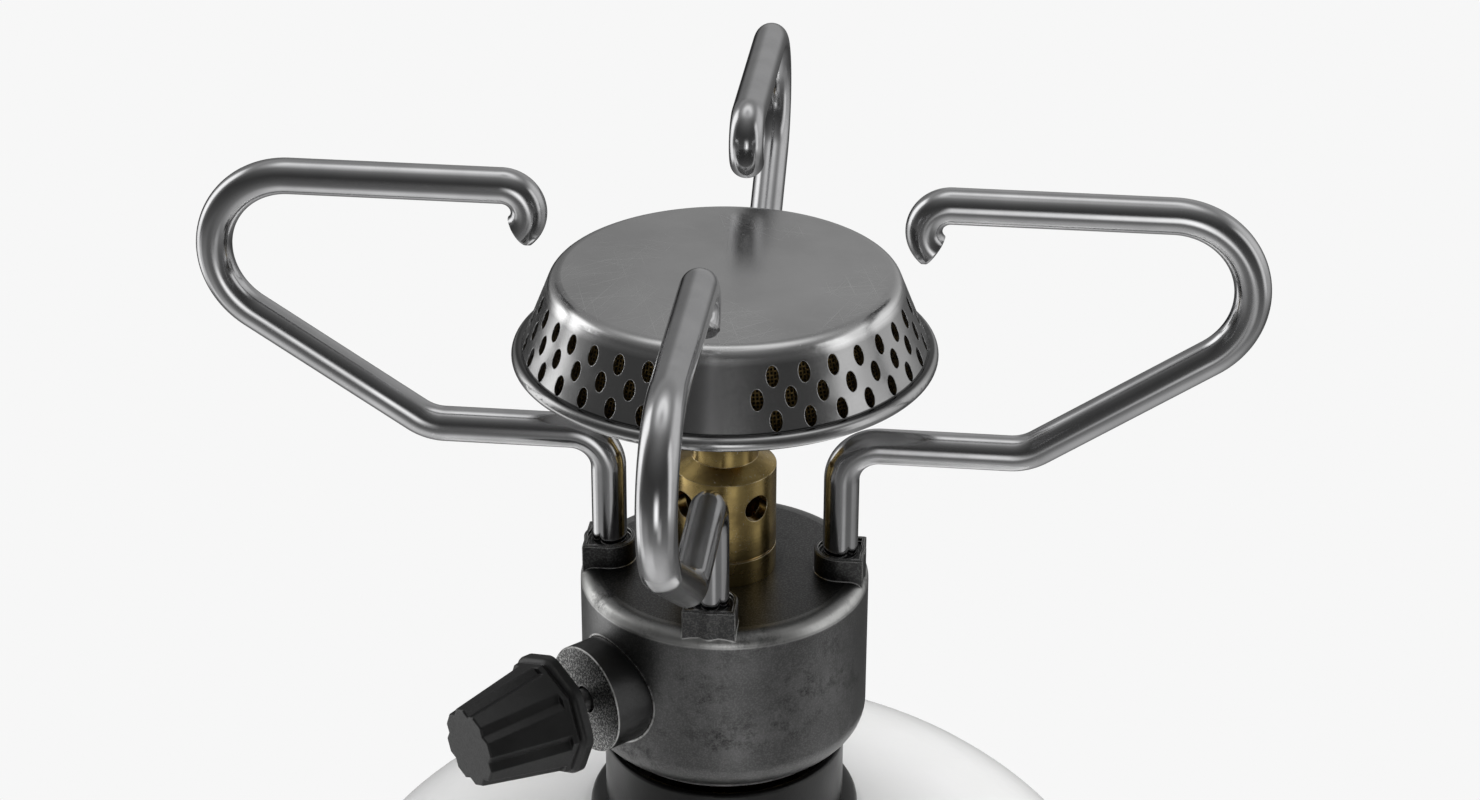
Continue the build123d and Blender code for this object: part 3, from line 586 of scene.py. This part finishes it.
# free-machining steel, turned: plain grey with lighter tool marks
spindleFinish = {"ground": "#a0a0a0", "cloud": "#c4c4c4", "size": 0.5, "levels": (0.4, 0.7), "roughness": 0.3}


# one tone clouded with another, for the small pieces
def makeClouded(name, finish, **shaderValues):
    material, tree, shader = newMaterial(name, Roughness=finish["roughness"], **shaderValues)
    cloud = noiseMask(tree, objectPlace(tree), finish["size"], *finish["levels"])
    colour = addNode(tree, "ShaderNodeMix", data_type="RGBA",
                     inputs={0: cloud, 6: hexColour(finish["ground"]), 7: hexColour(finish["cloud"])})
    dress(tree, shader, Base_Color=colour.outputs[2])
    return material


# which finish each node of the frame takes
castAlloy = makeCastAlloy("blackened cast alloy", castFinish)
finishes = [
    (makeEnamel(), ["cartridge_can", "cartridge_dome"]),
    (makePolypropylene(), ["cartridge_collar"]),
    (makeTinplate(), ["valve_cup", "spring_seat"]),
    (makeAgedBrass(), ["valve_boss", "valve_block", "inlet_socket", "depressor_pin", "inlet_filter",
                       "gas_jet", "mixing_tube", "head_nut"]),
    (makeClouded("nitrile rubber", rubberFinish, IOR=1.52), ["valve_gasket", "inlet_seal", "spindle_seals"]),
    (makeClouded("tempered spring steel", springFinish, Metallic=1.0),
     ["valve_stem", "valve_spring", "support_clip"]),
    (castAlloy, ["body_casing", "base_cover"]),
    (makeCastAlloy("blasted cast alloy", glandFinish), ["gland_nut"]),
    (makeClouded("turned spindle steel", spindleFinish, Metallic=1.0), ["valve_spindle"]),
    (makeNylon(), ["control_knob"]),
    (makeSheetSteel("satin stainless sheet", capFinish), ["burner_cap"]),
    (makeSheetSteel("heat-dulled stainless sheet", panFinish), ["burner_pan"]),
    (makeGauze(), ["flame_gauze"]),
]

for finish, nodeNames in finishes:
    for nodeName in nodeNames:
        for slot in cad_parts[nodeName].material_slots:
            slot.material = finish
print("finishes:", len(finishes))


# rolled lip of the base cover, a thin ring in the gap under the body; radii and heights in millimetres
coverLip = {
    "inner": 15.05,
    "outer": 16.55,
    "low": 90.85,
    "high": 91.45,
    "round": 0.22,
    "roundSteps": 4,
    "segments": 180,
}

profile = []
corners = ((coverLip["outer"], coverLip["low"], -90), (coverLip["outer"], coverLip["high"], 0),
           (coverLip["inner"], coverLip["high"], 90), (coverLip["inner"], coverLip["low"], 180))
for radius, height, start in corners:
    inward = math.copysign(coverLip["round"], (coverLip["inner"] + coverLip["outer"]) / 2 - radius)
    upward = math.copysign(coverLip["round"], (coverLip["low"] + coverLip["high"]) / 2 - height)
    for step in range(coverLip["roundSteps"] + 1):
        angle = math.radians(start + 90 * step / coverLip["roundSteps"])
        profile.append((radius + inward + coverLip["round"] * math.cos(angle),
                        height + upward + coverLip["round"] * math.sin(angle)))
points, quads = [], []
for n in range(coverLip["segments"]):
    angle = 2 * math.pi * n / coverLip["segments"]
    points += [(r * math.cos(angle) / 1000, r * math.sin(angle) / 1000, z / 1000) for r, z in profile]
    near, far = n * len(profile), (n + 1) % coverLip["segments"] * len(profile)
    for m in range(len(profile)):
        after = (m + 1) % len(profile)
        quads.append((near + m, far + m, far + after, near + after))
lipMesh = bpy.data.meshes.new("base_cover_lip")
lipMesh.from_pydata(points, [], quads)
lipMesh.shade_smooth()
lipMesh.materials.append(castAlloy)
lip = bpy.data.objects.new("base_cover_lip", lipMesh)
bpy.context.scene.collection.objects.link(lip)
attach(lip, "stove")
print("cover lip:", len(quads), "faces")


# pot supports, bent from round rod with a tight lower bend; reaches and heights in millimetres
supportRod = {
    "radius": 2.42,
    "legReach": 16.03,
    "legLow": 94.05,
    "runHeight": 136.46,
    "runReach": 40.7,
    "cornerReach": 93.83,
    "topHeight": 172.12,
    "hookReach": 29.6,
    "bends": (5.2, 7.0, 10.87),  # on the centre line, from the leg up
    "hookBend": 3.57,
    "hookTurn": 144.5,
    "endChamfer": 0.3,
    "groove": (94.85, 95.95, 1.9),  # low edge, high edge and radius of the clip's groove
    "segments": 64,
    "arcStep": 2.5,
    "lead": 0.4,  # a ring this far before and after each bend keeps the straights true
    "sharpAngle": 30,  # edges that turn more than this stay sharp
    "turns": {"right": 0, "back": 90, "left": 180, "front": 270},
}


# rings along the rod: reach, height, heading in radians and radius
def rodRings(rod):
    full, cut = rod["radius"], rod["radius"] - rod["endChamfer"]
    grooveLow, grooveHigh, grooveRadius = rod["groove"]
    upright = math.pi / 2
    leg = ((rod["legLow"], cut), (rod["legLow"] + rod["endChamfer"], full), (grooveLow, full),
           (grooveLow, grooveRadius), (grooveHigh, grooveRadius), (grooveHigh, full))
    rings = [(rod["legReach"], height, upright, radius) for height, radius in leg]
    knees = [(rod["legReach"], rod["legLow"]), (rod["legReach"], rod["runHeight"]),
             (rod["runReach"], rod["runHeight"]), (rod["cornerReach"], rod["topHeight"]),
             (rod["hookReach"], rod["topHeight"])]
    for before, knee, after, bend in zip(knees, knees[1:], knees[2:], rod["bends"]):
        heading = math.atan2(knee[1] - before[1], knee[0] - before[0])
        turn = math.remainder(math.atan2(after[1] - knee[1], after[0] - knee[0]) - heading, 2 * math.pi)
        back = bend * math.tan(abs(turn) / 2)
        side = heading + math.copysign(upright, turn)
        middle = (knee[0] - back * math.cos(heading) + bend * math.cos(side),
                  knee[1] - back * math.sin(heading) + bend * math.sin(side))
        steps = math.ceil(math.degrees(abs(turn)) / rod["arcStep"])
        stations = [(turn * step / steps, 0) for step in range(steps + 1)]
        for angle, ahead in [(0, -rod["lead"])] + stations + [(turn, rod["lead"])]:
            course = heading + angle
            rings.append((middle[0] - bend * math.cos(side + angle) + ahead * math.cos(course),
                          middle[1] - bend * math.sin(side + angle) + ahead * math.sin(course), course, full))
    rings.append((rod["hookReach"] + rod["lead"], rod["topHeight"], math.pi, full))
    bend = rod["hookBend"]
    ending = math.radians(rod["hookTurn"])
    bare = ending - rod["endChamfer"] / bend
    steps = math.ceil(math.degrees(bare) / rod["arcStep"])
    swept = [(bare * step / steps, full) for step in range(steps + 1)] + [(ending, cut)]
    middleHeight = rod["topHeight"] - bend
    for angle, radius in swept:
        rings.append((rod["hookReach"] - bend * math.sin(angle), middleHeight + bend * math.cos(angle),
                      math.pi + angle, radius))
    return rings


rings = rodRings(supportRod)
around = supportRod["segments"]
rodSteel = makeRodSteel()
for side, degrees in supportRod["turns"].items():
    spin = Matrix.Rotation(math.radians(degrees), 3, "Z")
    points, faces = [], []
    for reach, height, heading, radius in rings:
        for n in range(around):
            angle = 2 * math.pi * n / around
            inPlane = radius * math.cos(angle)
            place = Vector((reach - inPlane * math.sin(heading), radius * math.sin(angle),
                            height + inPlane * math.cos(heading)))
            points.append(spin @ place / 1000)
    for m in range(len(rings) - 1):
        near, far = m * around, (m + 1) * around
        for n in range(around):
            after = (n + 1) % around
            faces.append((near + n, far + n, far + after, near + after))
    last = len(points) - around
    faces += [tuple(range(around)), tuple(range(last + around - 1, last - 1, -1))]
    rodMesh = bpy.data.meshes.new("support_rod_" + side)
    rodMesh.from_pydata(points, [], faces)
    rodMesh.shade_smooth()
    rodMesh.set_sharp_from_angle(angle=math.radians(supportRod["sharpAngle"]))
    rodMesh.materials.append(rodSteel)
    rod = bpy.data.objects.new("support_rod_" + side, rodMesh)
    bpy.context.scene.collection.objects.link(rod)
    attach(rod, "support_" + side)
    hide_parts("pot_support_" + side)
print("support rods:", len(rings), "rings each")


coilSpring = bpy.data.objects.new("valve_spring_coil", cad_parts["valve_spring"].data.copy())
bpy.context.scene.collection.objects.link(coilSpring)
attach(coilSpring, "cartridge")
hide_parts("valve_spring")
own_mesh(coilSpring)


# camera at the photo's place: where it stands and aims in metres, its small tilt and its lens
view = {
    "place": (0.039778, -0.356824, 0.323650),
    "aim": (0.002024, 0.000201, 0.142284),
    "tilt": 0.2424,
    "lens": 72.499,
    "sensor": 36.0,
    "nearest": 0.01,
}

place = Vector(view["place"])
back = (place - Vector(view["aim"])).normalized()
level = Vector((0, 0, 1)).cross(back).normalized()
tilt = math.radians(view["tilt"])
right = level * math.cos(tilt) + back.cross(level) * math.sin(tilt)
up = back.cross(right)
lens = bpy.data.cameras.new("camera")
lens.lens = view["lens"]
lens.sensor_width = view["sensor"]
lens.clip_start = view["nearest"]
camera = bpy.data.objects.new("camera", lens)
camera.matrix_world = Matrix((right, up, back)).transposed().to_4x4()
camera.matrix_world.translation = place
bpy.context.scene.collection.objects.link(camera)
bpy.context.scene.camera = camera
bpy.context.scene.view_settings.view_transform = "Standard"
print("camera placed")


# studio round the stove, in degrees: turn 0 is in front and 90 on the right, rise 90 is overhead;
# front and behind give the room's brightness by its rise
studio = {
    "paper": "#f7f7f7",
    "contactShade": "#b8b8b8",
    "contactReach": 0.05,  # metres
    "front": {-90: 0.66, -80: 0.66, -56: 0.50, -39: 0.23, -23: 0.145, -6: 0.09, 8: 0.067, 22: 0.053, 36: 0.08,
              52: 0.14, 66: 0.24, 80: 0.42, 90: 0.55},
    "behind": {-90: 0.62, -73: 0.55, -50: 0.22, -26: 0.06, -10: 0.16, 2: 0.40, 26: 0.43, 40: 0.36, 50: 0.34,
               60: 0.58, 69: 1.20, 78: 1.20, 86: 0.65, 90: 0.55},
    "sideBlend": 0.35,
    "softLights": {  # a strength below zero takes light away
        "left": {"turn": -108, "rise": 1, "halfWide": 14, "halfTall": 37, "edge": 6, "strength": 1.2},
        "leftLow": {"turn": -86, "rise": -32, "halfWide": 12, "halfTall": 16, "edge": 7, "strength": 0.6},
        "leftGlow": {"turn": -58, "rise": -34, "halfWide": 20, "halfTall": 16, "edge": 12, "strength": 0.15},
        "leftFloor": {"turn": -62, "rise": -60, "halfWide": 44, "halfTall": 14, "edge": 14, "strength": 0.34},
        "leftFlag": {"turn": -150, "rise": 8, "halfWide": 18, "halfTall": 22, "edge": 8, "strength": -0.2},
        "right": {"turn": 80, "rise": 8, "halfWide": 9, "halfTall": 26, "edge": 5, "strength": 0.52},
        "rightWide": {"turn": 104, "rise": 6, "halfWide": 32, "halfTall": 30, "edge": 10, "strength": 0.35},
        "rightLow": {"turn": 96, "rise": -30, "halfWide": 20, "halfTall": 14, "edge": 8, "strength": 0.15},
        "strip": {"turn": 7, "rise": -6, "halfWide": 9, "halfTall": 13, "edge": 9, "strength": 1.7},
        "stripLow": {"turn": 23, "rise": -26, "halfWide": 10, "halfTall": 10, "edge": 7, "strength": 0.35},
    },
    "diffuseGain": (2.3, 3.3),  # more light for matt surfaces, from the left and from the right
    "floorSize": 6.0,  # metres
}

world = bpy.data.worlds.new("studio")
bpy.context.scene.world = world
world.use_nodes = True
tree = world.node_tree
tree.nodes.clear()
toward = addNode(tree, "ShaderNodeTexCoord").outputs["Generated"]
axes = addNode(tree, "ShaderNodeSeparateXYZ", {"Vector": toward})
rise = addNode(tree, "ShaderNodeMath", {0: axes.outputs["Z"]}, operation="ARCSINE").outputs[0]
depth = addNode(tree, "ShaderNodeMath", {0: axes.outputs["Y"], 1: -1.0}, operation="MULTIPLY")
turn = addNode(tree, "ShaderNodeMath", {0: axes.outputs["X"], 1: depth.outputs[0]},
               operation="ARCTAN2").outputs[0]
share = addNode(tree, "ShaderNodeMapRange",
                {"Value": rise, "From Min": -math.pi / 2, "From Max": math.pi / 2}).outputs[0]
shades = []
for side in ("front", "behind"):
    ramp = addNode(tree, "ShaderNodeValToRGB", {"Fac": share})
    stops = sorted(studio[side].items())
    elements = ramp.color_ramp.elements
    elements[0].position, elements[1].position = 0.0, 1.0
    for height, _ in stops[1:-1]:
        elements.new((height + 90) / 180)
    for element, (_, strength) in zip(elements, stops):
        element.color = (strength, strength, strength, 1)
    shades.append(ramp.outputs["Color"])
isBehind = addNode(tree, "ShaderNodeMapRange", interpolation_type="SMOOTHSTEP",
                   inputs={"Value": axes.outputs["Y"], "From Min": -studio["sideBlend"],
                           "From Max": studio["sideBlend"]})
light = addNode(tree, "ShaderNodeMix", data_type="RGBA",
                inputs={0: isBehind.outputs[0], 6: shades[0], 7: shades[1]}).outputs[2]
for soft in studio["softLights"].values():
    glow = soft["strength"]
    spans = ((turn, soft["turn"], soft["halfWide"]), (rise, soft["rise"], soft["halfTall"]))
    for angle, middle, half in spans:
        off = addNode(tree, "ShaderNodeMath", {0: angle, 1: math.radians(middle)}, operation="SUBTRACT")
        away = addNode(tree, "ShaderNodeMath", {0: off.outputs[0]}, operation="ABSOLUTE")
        inside = addNode(tree, "ShaderNodeMapRange",
                         {"Value": away.outputs[0], "From Min": math.radians(half - soft["edge"]),
                          "From Max": math.radians(half + soft["edge"]), "To Min": 1.0, "To Max": 0.0},
                         interpolation_type="SMOOTHSTEP")
        glow = addNode(tree, "ShaderNodeMath", {0: glow, 1: inside.outputs[0]},
                       operation="MULTIPLY").outputs[0]
    light = addNode(tree, "ShaderNodeVectorMath", {0: light, 1: glow}, operation="ADD").outputs[0]
ray = addNode(tree, "ShaderNodeLightPath")
low, high = studio["diffuseGain"]
matt = addNode(tree, "ShaderNodeMapRange",
               {"Value": axes.outputs["X"], "From Min": -1.0, "To Min": low, "To Max": high})
gain = addNode(tree, "ShaderNodeMapRange",
               {"Value": ray.outputs["Is Diffuse Ray"], "To Min": 1.0, "To Max": matt.outputs[0]})
room = addNode(tree, "ShaderNodeBackground", {"Color": light, "Strength": gain.outputs[0]})
paper = addNode(tree, "ShaderNodeBackground", {"Color": hexColour(studio["paper"]), "Strength": 1.0})
either = addNode(tree, "ShaderNodeMixShader",
                 {0: ray.outputs["Is Camera Ray"], 1: room.outputs[0], 2: paper.outputs[0]})
addNode(tree, "ShaderNodeOutputWorld", {"Surface": either.outputs[0]})

# floor of white paper that only the camera sees, with a soft shade where the cartridge stands
half = studio["floorSize"] / 2
sheet = bpy.data.meshes.new("floor")
outline = [(-half, -half, 0), (half, -half, 0), (half, half, 0), (-half, half, 0)]
sheet.from_pydata(outline, [], [(0, 1, 2, 3)])
floor = bpy.data.objects.new("floor", sheet)
bpy.context.scene.collection.objects.link(floor)
floor.visible_glossy = False
floor.visible_diffuse = False
floor.visible_shadow = False
floorPaper = bpy.data.materials.new("white paper")
floorPaper.use_nodes = True
tree = floorPaper.node_tree
tree.nodes.clear()
near = addNode(tree, "ShaderNodeAmbientOcclusion", {"Distance": studio["contactReach"]}, samples=8)
tone = addNode(tree, "ShaderNodeMix", data_type="RGBA",
               inputs={0: near.outputs["AO"], 6: hexColour(studio["contactShade"]),
                       7: hexColour(studio["paper"])})
glow = addNode(tree, "ShaderNodeEmission", {"Color": tone.outputs[2], "Strength": 1.0})
addNode(tree, "ShaderNodeOutputMaterial", {"Surface": glow.outputs[0]})
sheet.materials.append(floorPaper)
print("studio built")
